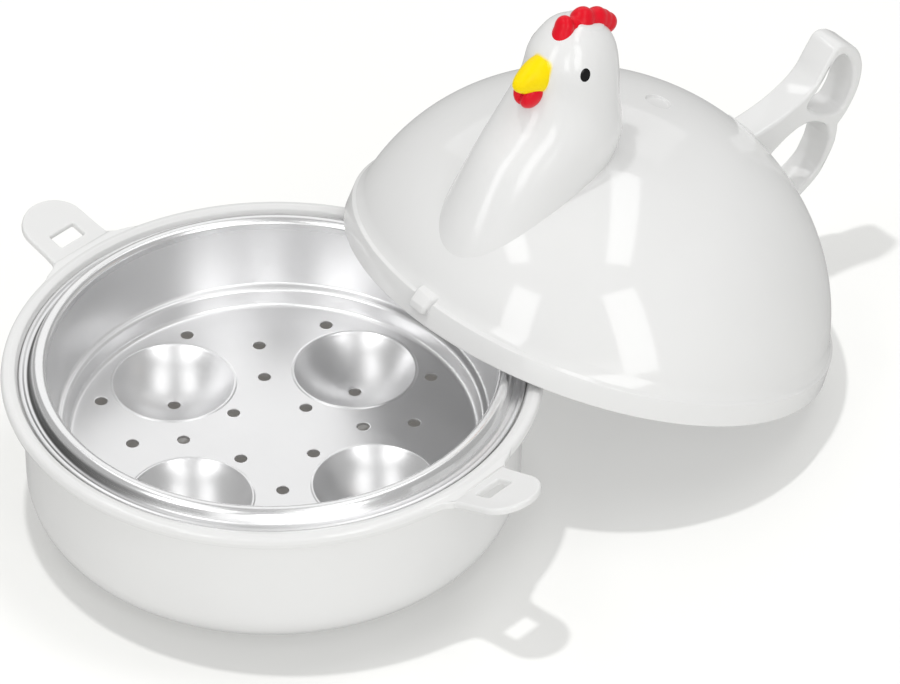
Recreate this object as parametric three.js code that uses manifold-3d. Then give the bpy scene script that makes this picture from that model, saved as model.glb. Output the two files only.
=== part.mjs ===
// Hen-shaped microwave egg cooker: a bowl that holds water, a perforated
// aluminium tray with four round cups, two latch flaps and a domed lid with a
// hen's head and a looped tail. The lid is off and leans on the tray.
// Millimetres, +Z up. The origin is the middle of the bowl's foot on the table,
// and +X runs through the right latch flap.
import * as THREE from 'three';
import { mergeVertices } from 'three/addons/utils/BufferGeometryUtils.js';
import Module from 'manifold-3d';

const wasm = await Module();
wasm.setup();

// Driving dimensions
const SEGMENTS = 40;
const GAP = 0.3;
const SEAT_Z = 50;

const BOWL_WALL = 2.2;
const BOWL_FOOT_R = 64.5;
const BOWL_FILLET = 14;
const BOWL_WALL_TOP_R = 79.2;
const RIM_R = 85.7;
const RIM_SEAT_R = 80.3;
const RIM_CROWN = 1.8;
const RIM_DROP = 2.7;
const TRAY_LEDGE_DROP = 1;

const TRAY_SHEET = 1;
const TRAY_LIP_R = 79.9;
const TRAY_BEAD_R = 73.6;
const TRAY_BEAD_HEIGHT = 4.5;
const TRAY_WALL_TOP_R = 71.2;
const TRAY_WALL_LOW_R = 68.6;
const TRAY_FLOOR_R = 63;
const TRAY_FLOOR_DROP = 25.3;
const TRAY_STEP_HEIGHT = 6.2;
const TRAY_TURN = 5.6;

const CUP_COUNT = 4;
const CUP_CIRCLE_R = 41;
const CUP_RIM_R = 19.1;
const CUP_DEPTH = 9.2;
const HOLE_R = 2;
const HOLE_SIDES = 8;
const INNER_HOLES_R = 16.3;
const MIDDLE_HOLES_R = 28.6;
const OUTER_HOLES_R = 44.8;
const EDGE_HOLES_R = 57.3;
const EDGE_HOLES_SPREAD = 22;

const HINGE_R = 86.8;
const HINGE_Z = SEAT_Z + 1.4;
const FLAP_LENGTH = 22.55;
const FLAP_ROUND = 10.1;
const FLAP_ROOT_WIDTH = 23.4;
const FLAP_WIDTH = 22.3;
const FLAP_THICKNESS = 2.4;
const RIGHT_FLAP = { bearing: 2.1, rise: 16.4 };
const LEFT_FLAP = { bearing: 179.4, rise: 14.4 };
const FLAP_EDGE = 0.5;
const SLOT_LENGTH = 10.4;
const SLOT_WIDTH = 5.6;
const SLOT_REACH = 6.7;

const LID_EDGE_R = 82;
const LID_WALL = 2.2;
const LID_BAND = 8.2;
const DOME_HALF_WIDTH = 80.9;
const DOME_HEIGHT = 75.2;
const DOME_SINK = 4;
const VENT_R = 4.2;
const VENT_DEPTH = 0.9;
const HOOK_ROOT_WIDTH = 10;
const HOOK_TIP_WIDTH = 7.6;
const HOOK_REACH = 84;
const HOOK_TOP = 10.8;
const HOOK_TURN = 1;
const SNAP_COUNT = 4;
const SNAP_WIDTH = 8;

const REFLECTOR_INSET = 4.7;
const REFLECTOR_SHEET = 0.8;
const REFLECTOR_FLANGE_R = 79.3;
const REFLECTOR_FLANGE_Z = 2.6;

const LEAN_HEADING = 76.7;
const LEAN_TILT = 22.4;
const LEAN_DISTANCE = 117.9;
const HEN_HEADING = 189.7;

const HEAD_WALL = 2.4;
const HEAD_SIDES = 24;
const HEAD_RINGS = 17;
const HEAD_CROWN_Z = 106.6;
const BOSS_R = 3.6;
const HEAD_BOSS_ANGLE = 38;
const EYE_DEPTH = 0.9;

const TAIL_WIDTH = 11.6;
const TAIL_EDGE = 1.1;
const TAIL_SCREW_ANGLE = -44;
const TAIL_SCREW_DEPTH = 10;

const SCREW_R = 1.5;
const SCREW_HEAD_R = 3;
const SCREW_HEAD_HEIGHT = 1.1;
const SCREW_LENGTH = 10;
const SCREW_SEAT_GAP = 0.8;

// Materials
const whitePlastic = { color: 0xf1f1ef, roughness: 0.32, metalness: 0 };
const aluminium = { color: 0xc6c7c8, roughness: 0.34, metalness: 1 };
const combRed = { color: 0xe0142c, roughness: 0.35, metalness: 0 };
const beakYellow = { color: 0xf9d90f, roughness: 0.4, metalness: 0 };
const eyeBlack = { color: 0x111111, roughness: 0.2, metalness: 0 };
const zincSteel = { color: 0xb8bcc0, roughness: 0.4, metalness: 1 };

// Solids and meshes
function solid(geometry) {
  const bare = geometry.clone();
  bare.deleteAttribute('normal');
  bare.deleteAttribute('uv');
  const merged = mergeVertices(bare, 1e-4);
  const corners = [];
  const index = merged.index.array;
  for (let i = 0; i < index.length; i += 3) {
    const [a, b, c] = index.slice(i, i + 3);
    if (a !== b && b !== c && c !== a) corners.push(a, b, c);
  }
  return new wasm.Manifold(new wasm.Mesh({
    numProp: 3,
    vertProperties: new Float32Array(merged.attributes.position.array),
    triVerts: new Uint32Array(corners),
  }));
}

function geometryOf(body) {
  const { vertProperties, triVerts } = body.getMesh();
  const geometry = new THREE.BufferGeometry();
  geometry.setAttribute('position', new THREE.BufferAttribute(vertProperties, 3));
  geometry.setIndex(new THREE.BufferAttribute(triVerts, 1));
  geometry.computeVertexNormals();
  return geometry;
}

function piece(name, body, finish) {
  const mesh = new THREE.Mesh(geometryOf(body), new THREE.MeshStandardMaterial(finish));
  mesh.name = name;
  return mesh;
}

const radians = THREE.MathUtils.degToRad;
const point = (x, y) => new THREE.Vector2(x, y);
const points = (pairs) => pairs.map(([x, y]) => point(x, y));

// Points along an oval with the given centre and half-axes, angles in degrees
function arc([r, z], [halfWidth, halfHeight], from, to, steps) {
  return Array.from({ length: steps + 1 }, (unused, i) => {
    const angle = radians(from + ((to - from) * i) / steps);
    return point(r + halfWidth * Math.cos(angle), z + halfHeight * Math.sin(angle));
  });
}

// Revolves an (r, z) profile, listed anticlockwise, about the Z axis
function revolve(profile, segments = SEGMENTS) {
  const geometry = new THREE.LatheGeometry(profile, segments);
  return solid(geometry.rotateX(Math.PI / 2));
}

function cylinder(radius, low, high, sides) {
  const geometry = new THREE.CylinderGeometry(radius, radius, high - low, sides);
  return solid(geometry.rotateX(Math.PI / 2).translate(0, 0, (low + high) / 2));
}

// An extruded (x, z) outline, centred on the plane y = 0
function slab(shape, width, edge, curveSegments = 6) {
  const geometry = new THREE.ExtrudeGeometry(shape, {
    depth: width - 2 * edge,
    bevelEnabled: edge > 0,
    bevelThickness: edge,
    bevelSize: edge,
    bevelOffset: -edge,
    bevelSegments: 1,
    curveSegments,
  });
  return solid(geometry.translate(0, 0, edge - width / 2).rotateX(Math.PI / 2));
}

function ellipsoid(centre, radii, across = 12, down = 8) {
  const geometry = new THREE.SphereGeometry(1, across, down);
  return solid(geometry.scale(...radii).translate(...centre));
}

// Joins rings of equal length into one closed skin with an end point at each end
function loft(rings, start, end) {
  const sides = rings[0].length;
  const vertices = [start, ...rings.flat(), end];
  const last = vertices.length - 1;
  const faces = [];
  const at = (ring, side) => 1 + ring * sides + (side % sides);
  for (let side = 0; side < sides; side += 1) {
    faces.push(0, at(0, side + 1), at(0, side));
    for (let ring = 0; ring < rings.length - 1; ring += 1) {
      faces.push(at(ring, side), at(ring, side + 1), at(ring + 1, side + 1));
      faces.push(at(ring, side), at(ring + 1, side + 1), at(ring + 1, side));
    }
    faces.push(at(rings.length - 1, side), at(rings.length - 1, side + 1), last);
  }
  const geometry = new THREE.BufferGeometry().setFromPoints(vertices);
  geometry.setIndex(faces);
  return solid(geometry);
}

// Bowl
function bowl() {
  const centre = [BOWL_FOOT_R, BOWL_FILLET];
  const wallLowR = BOWL_FOOT_R + BOWL_FILLET;
  const innerFillet = BOWL_FILLET - BOWL_WALL;
  const underRimZ = SEAT_Z - RIM_DROP;
  const ledgeZ = SEAT_Z - TRAY_LEDGE_DROP;
  const profile = [
    point(0, 0),
    ...arc(centre, [BOWL_FILLET, BOWL_FILLET], -90, 0, 5),
    ...points([
      [BOWL_WALL_TOP_R, underRimZ - 1.6],
      [BOWL_WALL_TOP_R + 1.2, underRimZ],
      [RIM_R - 1, underRimZ + 0.1],
      [RIM_R, SEAT_Z - 1.3],
      [RIM_R - 0.1, SEAT_Z + 0.2],
      [RIM_R - 0.9, SEAT_Z + 1.4],
      [RIM_R - 2.3, SEAT_Z + RIM_CROWN],
      [RIM_SEAT_R + 1.6, SEAT_Z + 1.4],
      [RIM_SEAT_R + 0.1, SEAT_Z + 0.3],
      [RIM_SEAT_R, ledgeZ],
      [BOWL_WALL_TOP_R - BOWL_WALL, ledgeZ],
      [wallLowR - BOWL_WALL, BOWL_FILLET],
    ]),
    ...arc(centre, [innerFillet, innerFillet], 0, -90, 4).slice(1),
    point(0, BOWL_WALL),
  ];
  return revolve(profile);
}

// Root of a latch flap on the rim, at +X
function flapRoot() {
  const outer = HINGE_R - GAP / 2;
  const low = HINGE_Z - FLAP_THICKNESS;
  const shape = new THREE.Shape(points([
    [RIM_R - 2.2, low],
    [outer, low],
    [outer, HINGE_Z],
    [RIM_R - 2.2, HINGE_Z],
  ]));
  return slab(shape, FLAP_ROOT_WIDTH, 0);
}

function bowlWithRoots() {
  const root = flapRoot();
  return bowl()
    .add(root.rotate([0, 0, RIGHT_FLAP.bearing]))
    .add(root.rotate([0, 0, LEFT_FLAP.bearing]));
}

// Tray
function trayPan() {
  const floor = SEAT_Z - TRAY_FLOOR_DROP;
  const step = floor + TRAY_STEP_HEIGHT;
  const lipZ = SEAT_Z - TRAY_LEDGE_DROP + GAP;
  const bead = SEAT_Z + TRAY_BEAD_HEIGHT;
  const sheet = TRAY_SHEET;
  const under = points([
    [0, floor - sheet],
    [TRAY_FLOOR_R + 0.4, floor - sheet],
    [TRAY_FLOOR_R + 2.6, floor + 0.3],
    [TRAY_FLOOR_R + 3.7, step - 2.4],
    [TRAY_FLOOR_R + 4.7, step - 1.4],
    [TRAY_WALL_LOW_R + 0.5, step - 0.7],
    [TRAY_WALL_LOW_R + sheet, step + 0.9],
    [TRAY_WALL_TOP_R + sheet, SEAT_Z + 1.4],
    [TRAY_BEAD_R - 0.5, bead - sheet],
    [TRAY_BEAD_R + 0.7, bead - sheet],
    [TRAY_BEAD_R + 3, SEAT_Z - 0.2],
    [TRAY_BEAD_R + 3.8, lipZ],
    [TRAY_LIP_R - 0.1, lipZ],
  ]);
  const top = points([
    [TRAY_LIP_R, SEAT_Z + 0.4],
    [TRAY_LIP_R - 0.8, SEAT_Z + 0.8],
    [TRAY_LIP_R - 2, SEAT_Z + 0.3],
    [TRAY_LIP_R - 2.8, SEAT_Z + 0.6],
    [TRAY_BEAD_R + 2.3, SEAT_Z + 2.8],
    [TRAY_BEAD_R + 1.2, bead - 0.4],
    [TRAY_BEAD_R, bead],
    [TRAY_BEAD_R - 1.3, bead - 0.5],
    [TRAY_WALL_TOP_R, SEAT_Z + 1.5],
    [TRAY_WALL_LOW_R, step + 1.1],
    [TRAY_WALL_LOW_R - 0.6, step],
    [TRAY_FLOOR_R + 3.7, step - 0.7],
    [TRAY_FLOOR_R + 2.6, step - 2.6],
    [TRAY_FLOOR_R + 1.7, floor + 1],
    [TRAY_FLOOR_R, floor],
    [0, floor],
  ]);
  return revolve([...under, ...top]);
}

// A copy of a body at a radius and a bearing about the Z axis
function onCircle(body, radius, bearing) {
  return body.translate([radius, 0, 0]).rotate([0, 0, bearing]);
}

function eggTray() {
  const floor = SEAT_Z - TRAY_FLOOR_DROP;
  const cupR = (CUP_RIM_R ** 2 + CUP_DEPTH ** 2) / (2 * CUP_DEPTH);
  const cupZ = floor - CUP_DEPTH + cupR;
  const rimAngle = -radians(90) + Math.asin(CUP_RIM_R / cupR);
  const rimDegrees = THREE.MathUtils.radToDeg(rimAngle);
  const dish = (radius, lidZ) => revolve([
    ...arc([0, cupZ], [radius, radius], -90, rimDegrees, 4),
    point(radius * Math.cos(rimAngle), lidZ),
    point(0, lidZ),
  ], 20);
  const cupOutside = dish(cupR + TRAY_SHEET, floor - TRAY_SHEET / 2);
  const cupInside = dish(cupR, floor + 1);
  const hole = cylinder(HOLE_R, floor - CUP_DEPTH - 3, floor + 3, HOLE_SIDES);
  let tray = trayPan();
  for (let cup = 0; cup < CUP_COUNT; cup += 1) {
    const bearing = TRAY_TURN + (360 * cup) / CUP_COUNT;
    const between = bearing + 180 / CUP_COUNT;
    tray = tray.add(onCircle(cupOutside, CUP_CIRCLE_R, bearing));
    tray = tray.subtract(onCircle(cupInside, CUP_CIRCLE_R, bearing));
    const holes = [
      [CUP_CIRCLE_R, bearing],
      [INNER_HOLES_R, bearing],
      [MIDDLE_HOLES_R, between],
      [OUTER_HOLES_R, between],
      [EDGE_HOLES_R, bearing - EDGE_HOLES_SPREAD],
      [EDGE_HOLES_R, bearing + EDGE_HOLES_SPREAD],
    ];
    for (const [radius, angle] of holes) tray = tray.subtract(onCircle(hole, radius, angle));
  }
  return tray;
}

// Latch flap, drawn level with its hinge line on the Y axis and its top at z = 0
function latchFlap() {
  const start = GAP / 2;
  const bend = FLAP_LENGTH - FLAP_ROUND;
  const shape = new THREE.Shape();
  shape.moveTo(start, -FLAP_ROOT_WIDTH / 2);
  shape.lineTo(bend, -FLAP_WIDTH / 2);
  shape.absellipse(bend, 0, FLAP_ROUND, FLAP_WIDTH / 2, -Math.PI / 2, Math.PI / 2);
  shape.lineTo(start, FLAP_ROOT_WIDTH / 2);
  shape.closePath();
  const slot = new THREE.Path(points([
    [SLOT_REACH - SLOT_WIDTH / 2, -SLOT_LENGTH / 2],
    [SLOT_REACH - SLOT_WIDTH / 2, SLOT_LENGTH / 2],
    [SLOT_REACH + SLOT_WIDTH / 2, SLOT_LENGTH / 2],
    [SLOT_REACH + SLOT_WIDTH / 2, -SLOT_LENGTH / 2],
  ]));
  shape.holes.push(slot);
  const geometry = new THREE.ExtrudeGeometry(shape, {
    depth: FLAP_THICKNESS - 2 * FLAP_EDGE,
    bevelThickness: FLAP_EDGE,
    bevelSize: FLAP_EDGE,
    bevelOffset: -FLAP_EDGE,
    bevelSegments: 1,
    curveSegments: 14,
  });
  return solid(geometry.translate(0, 0, FLAP_EDGE - FLAP_THICKNESS));
}

function latch(name, { bearing, rise }) {
  const flap = piece(name, latchFlap(), whitePlastic);
  flap.position.set(HINGE_R, 0, HINGE_Z);
  flap.rotation.y = -radians(rise);
  const turn = new THREE.Group();
  turn.rotation.z = radians(bearing);
  turn.add(flap);
  return turn;
}

// Lid pieces are drawn in the lid's own frame: its lower edge lies on z = 0,
// the hen faces +X and its left side is +Y
// The profile of the dome, moved inward by inset, from a height up to a radius
function domeArc(inset, fromZ, toR, steps) {
  const halfWidth = DOME_HALF_WIDTH - inset;
  const halfHeight = DOME_HEIGHT - inset;
  const start = Math.asin((fromZ + DOME_SINK) / halfHeight);
  const end = Math.acos(toR / halfWidth);
  const [from, to] = [start, end].map(THREE.MathUtils.radToDeg);
  return arc([0, -DOME_SINK], [halfWidth, halfHeight], from, to, steps);
}

// The oval that the outside of the dome lies on, grown by a clearance
function domeBall(clearance) {
  const halfAxes = [DOME_HALF_WIDTH + clearance, DOME_HEIGHT + clearance];
  return revolve(arc([0, -DOME_SINK], halfAxes, -90, 90, 24));
}

// Distance from the dome's centre to its outside, along a line that leans from the axis
function domeReach(lean) {
  const angle = radians(lean);
  return 1 / Math.hypot(Math.sin(angle) / DOME_HALF_WIDTH, Math.cos(angle) / DOME_HEIGHT);
}

function lidDome() {
  const skirtR = LID_EDGE_R - LID_WALL;
  const apex = DOME_HEIGHT - DOME_SINK;
  const inside = domeArc(LID_WALL, LID_BAND - 0.4, 0, 8).reverse();
  const outside = domeArc(0, LID_BAND + 0.4, VENT_R + 0.5, 10);
  return revolve([
    ...inside,
    ...points([
      [skirtR, LID_BAND - 1.6],
      [skirtR, 0],
      [LID_EDGE_R - 0.3, 0],
      [LID_EDGE_R, 0.5],
      [LID_EDGE_R, LID_BAND - 0.8],
      [LID_EDGE_R - 0.6, LID_BAND],
    ]),
    ...outside,
    ...points([
      [VENT_R, apex - VENT_DEPTH],
      [0, apex - VENT_DEPTH],
    ]),
  ]);
}

// A catch on the band that narrows towards its tip
function hook() {
  const root = LID_EDGE_R - LID_WALL / 2;
  const side = new THREE.Shape(points([
    [root, 3.4],
    [HOOK_REACH, 3.8],
    [HOOK_REACH, 6.4],
    [LID_EDGE_R, HOOK_TOP - 1],
    [root - 2, HOOK_TOP],
  ]));
  const plan = new THREE.Shape(points([
    [root - 2, -HOOK_ROOT_WIDTH / 2],
    [HOOK_REACH, -HOOK_TIP_WIDTH / 2],
    [HOOK_REACH, HOOK_TIP_WIDTH / 2],
    [root - 2, HOOK_ROOT_WIDTH / 2],
  ]));
  const column = new THREE.ExtrudeGeometry(plan, { depth: 2 * HOOK_TOP, bevelEnabled: false });
  return slab(side, HOOK_ROOT_WIDTH, 0).intersect(solid(column));
}

// A small lug inside the skirt that the reflector's flange snaps behind
function snap() {
  const root = LID_EDGE_R - LID_WALL / 2;
  const shape = new THREE.Shape(points([
    [root - 2.7, 1.2],
    [root, 0.4],
    [root, 2.1],
    [root - 2.7, 2.1],
  ]));
  return slab(shape, SNAP_WIDTH, 0);
}

// A rod on a line through the dome's centre that leans forward from the axis, with
// its ends measured from the outside of the dome
function radialRod(radius, from, to, lean) {
  const reach = domeReach(lean);
  return cylinder(radius, reach + from, reach + to, 12)
    .rotate([0, lean, 0])
    .translate([0, 0, -DOME_SINK]);
}

function lidShell() {
  let shell = lidDome();
  for (const side of [0, 180]) shell = shell.add(hook().rotate([0, 0, side + HOOK_TURN]));
  for (let i = 0; i < SNAP_COUNT; i += 1) {
    shell = shell.add(snap().rotate([0, 0, 45 + (360 * i) / SNAP_COUNT]));
  }
  for (const lean of [HEAD_BOSS_ANGLE, TAIL_SCREW_ANGLE]) {
    shell = shell.subtract(radialRod(SCREW_R + GAP, -5, 5, lean));
  }
  return shell;
}

function lidReflector() {
  const flangeTop = REFLECTOR_FLANGE_Z + REFLECTOR_SHEET;
  const inside = domeArc(REFLECTOR_INSET + REFLECTOR_SHEET, flangeTop, 0, 8).reverse();
  const outside = domeArc(REFLECTOR_INSET, flangeTop + 0.6, 0, 8);
  return revolve([
    ...inside,
    ...points([
      [inside.at(-1).x + 0.4, REFLECTOR_FLANGE_Z],
      [REFLECTOR_FLANGE_R, REFLECTOR_FLANGE_Z],
      [REFLECTOR_FLANGE_R, flangeTop],
      [outside[0].x + 0.5, flangeTop],
    ]),
    ...outside,
  ]);
}

// Hen's head: oval sections of the neck and head, listed from the breast up
const HEAD_SECTIONS = [
  { z: 18, front: 75.6, back: 23.4, halfWidth: 25.3 },
  { z: 36, front: 74.7, back: 25.6, halfWidth: 20.8 },
  { z: 54, front: 72.2, back: 24.4, halfWidth: 18.9 },
  { z: 70, front: 66.4, back: 24.2, halfWidth: 18.4 },
  { z: 82, front: 65.4, back: 29.4, halfWidth: 15.4 },
  { z: 92, front: 66.6, back: 34.2, halfWidth: 14.1 },
  { z: 99, front: 64.9, back: 37.9, halfWidth: 11.8 },
  { z: 103, front: 62.5, back: 41.4, halfWidth: 9.3 },
  { z: 105.4, front: 59, back: 45, halfWidth: 6.2 },
];

// The head's skin, moved outward by grow, or inward where grow is negative
function headSkin(grow, lowZ, rings = HEAD_RINGS, sides = HEAD_SIDES) {
  const oval = new THREE.CatmullRomCurve3(
    HEAD_SECTIONS.map((s) => new THREE.Vector3(s.front, s.back, s.halfWidth)), false, 'catmullrom');
  const height = new THREE.CatmullRomCurve3(
    HEAD_SECTIONS.map((s) => new THREE.Vector3(s.z, 0, 0)), false, 'catmullrom');
  const skin = [];
  for (let i = 0; i < rings; i += 1) {
    const t = i / (rings - 1);
    const { x: front, y: back, z: halfWidth } = oval.getPoint(t);
    const centre = (front + back) / 2;
    const reach = Math.max((front - back) / 2 + grow, 0.5);
    const side = Math.max(halfWidth + grow, 0.5);
    const z = height.getPoint(t).x + grow * t ** 6;
    skin.push(Array.from({ length: sides }, (unused, k) => {
      const angle = (2 * Math.PI * k) / sides;
      return new THREE.Vector3(centre + reach * Math.cos(angle), side * Math.sin(angle), z);
    }));
  }
  const low = skin[0].map((p) => p.clone().setZ(lowZ));
  const middle = (HEAD_SECTIONS[0].front + HEAD_SECTIONS[0].back) / 2;
  const crown = HEAD_SECTIONS.at(-1);
  return loft(
    [low, ...skin],
    new THREE.Vector3(middle, 0, lowZ - 1),
    new THREE.Vector3((crown.front + crown.back) / 2, 0, HEAD_CROWN_Z + grow),
  );
}

// The oval outline of an eye, grown by a clearance
function eyeOval(side, clearance) {
  const radii = [1.5, 3, 2.2].map((radius) => radius + clearance);
  return ellipsoid([57.9, side * 12.3, 93.3], radii, 16, 10);
}

function henHead() {
  const outside = headSkin(0, 14);
  const hollow = headSkin(-HEAD_WALL, 4, 12, 18);
  const boss = radialRod(BOSS_R, -8, 40, HEAD_BOSS_ANGLE);
  const pilot = radialRod(SCREW_R + GAP, -9, SCREW_LENGTH, HEAD_BOSS_ANGLE);
  const sockets = eyeOval(1, GAP)
    .add(eyeOval(-1, GAP))
    .subtract(headSkin(-EYE_DEPTH - GAP, 14));
  return outside
    .subtract(hollow)
    .subtract(sockets)
    .add(boss.intersect(outside))
    .subtract(domeBall(GAP + 0.1))
    .subtract(pilot);
}

// Coloured features of the face
function comb() {
  const lobes = [
    [[60, 0, 101.5], [4.4, 4.2, 6.3]],
    [[54.6, 0, 105.9], [4.4, 3.5, 4.9]],
    [[48.6, 0, 105.6], [4.9, 3.1, 4.7]],
    [[44.4, 0, 104.3], [4.6, 2.9, 3.9]],
    [[41.5, 0, 103.3], [4.5, 2.8, 3.4]],
  ];
  return lobes
    .map(([centre, radii]) => ellipsoid(centre, radii))
    .reduce((whole, lobe) => whole.add(lobe))
    .subtract(headSkin(GAP, 14));
}

// The beak's skin, moved outward by grow
function beakSkin(grow) {
  const sections = [
    { x: 62, z: 87.4, halfHeight: 7, halfWidth: 5.2 },
    { x: 66.4, z: 87.1, halfHeight: 6.5, halfWidth: 4.9 },
    { x: 70, z: 86, halfHeight: 5, halfWidth: 3.8 },
    { x: 72.6, z: 84.8, halfHeight: 3.1, halfWidth: 2.5 },
    { x: 73.9, z: 84.2, halfHeight: 1.5, halfWidth: 1.3 },
  ];
  const sides = 14;
  const rings = sections.map((s) => Array.from({ length: sides }, (unused, k) => {
    const angle = (2 * Math.PI * k) / sides;
    const y = (s.halfWidth + grow) * Math.cos(angle);
    return new THREE.Vector3(s.x, y, s.z + (s.halfHeight + grow) * Math.sin(angle));
  }));
  return loft(rings, new THREE.Vector3(61, 0, 87.4), new THREE.Vector3(74.3 + grow, 0, 84.1));
}

function beak() {
  return beakSkin(0).subtract(headSkin(GAP, 14));
}

function wattle() {
  const lobe = (side) => ellipsoid([0, 0, 0], [4.3, 2.5, 4.5])
    .rotate([-16 * side, 0, 0])
    .translate([66, 1.9 * side, 80.2]);
  return lobe(1).add(lobe(-1)).subtract(headSkin(GAP, 14)).subtract(beakSkin(GAP));
}

// An eye set flush into its socket in the head
function eye(side) {
  return eyeOval(side, 0)
    .intersect(headSkin(0, 14))
    .subtract(headSkin(-EYE_DEPTH, 14));
}

// Tail handle: a band bent into two loops that stands on the dome on two feet
function tailOutline() {
  const shape = new THREE.Shape();
  shape.moveTo(-47, 48);
  shape.lineTo(-49.5, 55.2);
  shape.splineThru(points([[-58.8, 62], [-66, 68], [-70.3, 74], [-71.9, 80.5], [-73.1, 85.7]]));
  shape.quadraticCurveTo(-74.2, 88.3, -79, 87.7);
  shape.splineThru(points([[-85.4, 85.2], [-90.8, 79], [-93.1, 70.5], [-92.2, 62.4], [-89.9, 57]]));
  shape.splineThru(points([[-91.8, 50.5], [-91.3, 43], [-88.4, 35], [-75, 19.5]]));
  shape.lineTo(-70, 22);
  shape.splineThru(points([[-85.8, 37], [-88.8, 45], [-88.3, 51.6]]));
  shape.splineThru(points([[-84.5, 56.7], [-78, 58.7], [-72, 58.2], [-66.5, 54.6], [-61.3, 48.8]]));
  shape.lineTo(-56, 40);
  shape.closePath();
  const loop = new THREE.Path();
  loop.moveTo(-74.4, 79.6);
  loop.splineThru(points([
    [-76, 83], [-79, 84], [-83.9, 81.2], [-87.4, 76.4], [-89.5, 70], [-88.9, 64.2],
    [-86.6, 62.1], [-82, 61.5], [-75.8, 62.5], [-70.4, 65.6], [-72.8, 72.4], [-74.4, 79.6],
  ]));
  shape.holes.push(loop);
  return shape;
}

function tailHandle() {
  const pilot = radialRod(SCREW_R + GAP, -5, TAIL_SCREW_DEPTH, TAIL_SCREW_ANGLE);
  return slab(tailOutline(), TAIL_WIDTH, TAIL_EDGE, 4)
    .subtract(domeBall(GAP + 0.1))
    .subtract(pilot);
}

// Screw that holds the head or the tail, driven outward from inside the dome
function screw(lean) {
  const seat = domeReach(lean) - LID_WALL - SCREW_SEAT_GAP;
  const tip = seat + SCREW_LENGTH - 1;
  const profile = points([
    [0, seat - SCREW_HEAD_HEIGHT],
    [SCREW_HEAD_R - 0.4, seat - SCREW_HEAD_HEIGHT],
    [SCREW_HEAD_R, seat],
    [SCREW_R, seat],
    [SCREW_R, tip],
    [0, tip + 1],
  ]);
  return revolve(profile, 12).rotate([0, lean, 0]).translate([0, 0, -DOME_SINK]);
}

function lid() {
  const pieces = new THREE.Group();
  pieces.add(
    piece('lid_shell', lidShell(), whitePlastic),
    piece('lid_reflector', lidReflector(), aluminium),
    piece('hen_head', henHead(), whitePlastic),
    piece('comb', comb(), combRed),
    piece('beak', beak(), beakYellow),
    piece('wattle', wattle(), combRed),
    piece('left_eye', eye(1), eyeBlack),
    piece('right_eye', eye(-1), eyeBlack),
    piece('tail_handle', tailHandle(), whitePlastic),
    piece('head_screw', screw(HEAD_BOSS_ANGLE), zincSteel),
    piece('tail_screw', screw(TAIL_SCREW_ANGLE), zincSteel),
  );
  pieces.rotation.z = radians(HEN_HEADING);
  const lean = new THREE.Group();
  lean.add(pieces);
  lean.rotation.y = radians(LEAN_TILT);
  lean.position.set(LEAN_DISTANCE, 0, LID_EDGE_R * Math.sin(radians(LEAN_TILT)));
  const place = new THREE.Group();
  place.add(lean);
  place.rotation.z = radians(LEAN_HEADING);
  return place;
}

const eggCooker = new THREE.Group();
eggCooker.add(
  piece('base_bowl', bowlWithRoots(), whitePlastic),
  piece('egg_tray', eggTray(), aluminium),
  latch('right_latch', RIGHT_FLAP),
  latch('left_latch', LEFT_FLAP),
  lid(),
);

export default eggCooker;
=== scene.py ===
"""Hen-shaped microwave egg cooker: bowl, pressed tray, latch flaps and a leaning hen lid.

Shapes are drawn in millimetres. The bowl, tray and flaps use the part's own axes, and
the pieces of the lid use the lid's: its lower edge on z = 0 and the hen facing +X.
"""
import math

import bmesh
import bpy
from mathutils import Matrix, Vector
from mathutils.geometry import tessellate_polygon


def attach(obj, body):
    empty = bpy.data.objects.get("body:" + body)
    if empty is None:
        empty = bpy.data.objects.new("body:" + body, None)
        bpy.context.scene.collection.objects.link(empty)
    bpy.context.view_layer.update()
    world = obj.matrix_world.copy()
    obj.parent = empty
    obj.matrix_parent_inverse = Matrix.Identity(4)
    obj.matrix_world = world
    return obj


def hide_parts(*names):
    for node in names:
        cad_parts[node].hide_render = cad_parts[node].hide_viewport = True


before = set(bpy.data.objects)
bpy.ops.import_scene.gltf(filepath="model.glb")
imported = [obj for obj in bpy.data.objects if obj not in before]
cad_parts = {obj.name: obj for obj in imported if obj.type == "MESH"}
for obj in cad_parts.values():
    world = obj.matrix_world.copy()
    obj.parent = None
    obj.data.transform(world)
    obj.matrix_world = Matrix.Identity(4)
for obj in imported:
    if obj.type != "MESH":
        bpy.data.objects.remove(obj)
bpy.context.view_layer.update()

MM = 0.001
SEAT_Z = 50.0
SEGMENTS = 192

BOWL_CURVE_AT = (64.5, 14.0)
BOWL_CURVE_R = 14.0
BOWL_WALL = 2.2

TRAY_FLOOR_Z = 24.7
TRAY_SHEET = 1.0
TRAY_TURN = 5.6
CUP_CIRCLE_R = 41.0
CUP_RIM_R = 19.1
CUP_DEPTH = 9.2
CUP_SEGMENTS = 96
HOLE_R = 2.0
HOLE_SEGMENTS = 32

HINGE_R = 86.8
HINGE_Z = SEAT_Z + 1.4
FLAP_THICKNESS = 2.4
ROOT_THICKNESS = 2.7
FLAPS = {"right_latch": (2.1, 16.4), "left_latch": (179.4, 14.4)}

LID_EDGE_R = 82.0
LID_WALL = 2.2
LID_BAND = 8.2
DOME_HALF_WIDTH = 80.9
DOME_HEIGHT = 75.2
DOME_SINK = 4.0
CATCH_WIDTH = 8.8
CATCH_TAPER = 0.047
LUG_WIDTH = 8.0
TAIL_WIDTH = 11.6

LEAN_HEADING = math.radians(76.7)
LEAN_TILT = math.radians(22.4)
LEAN_DISTANCE = 117.9
HEN_HEADING = math.radians(189.7)
VIEW_TURN = math.radians(44)

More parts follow.
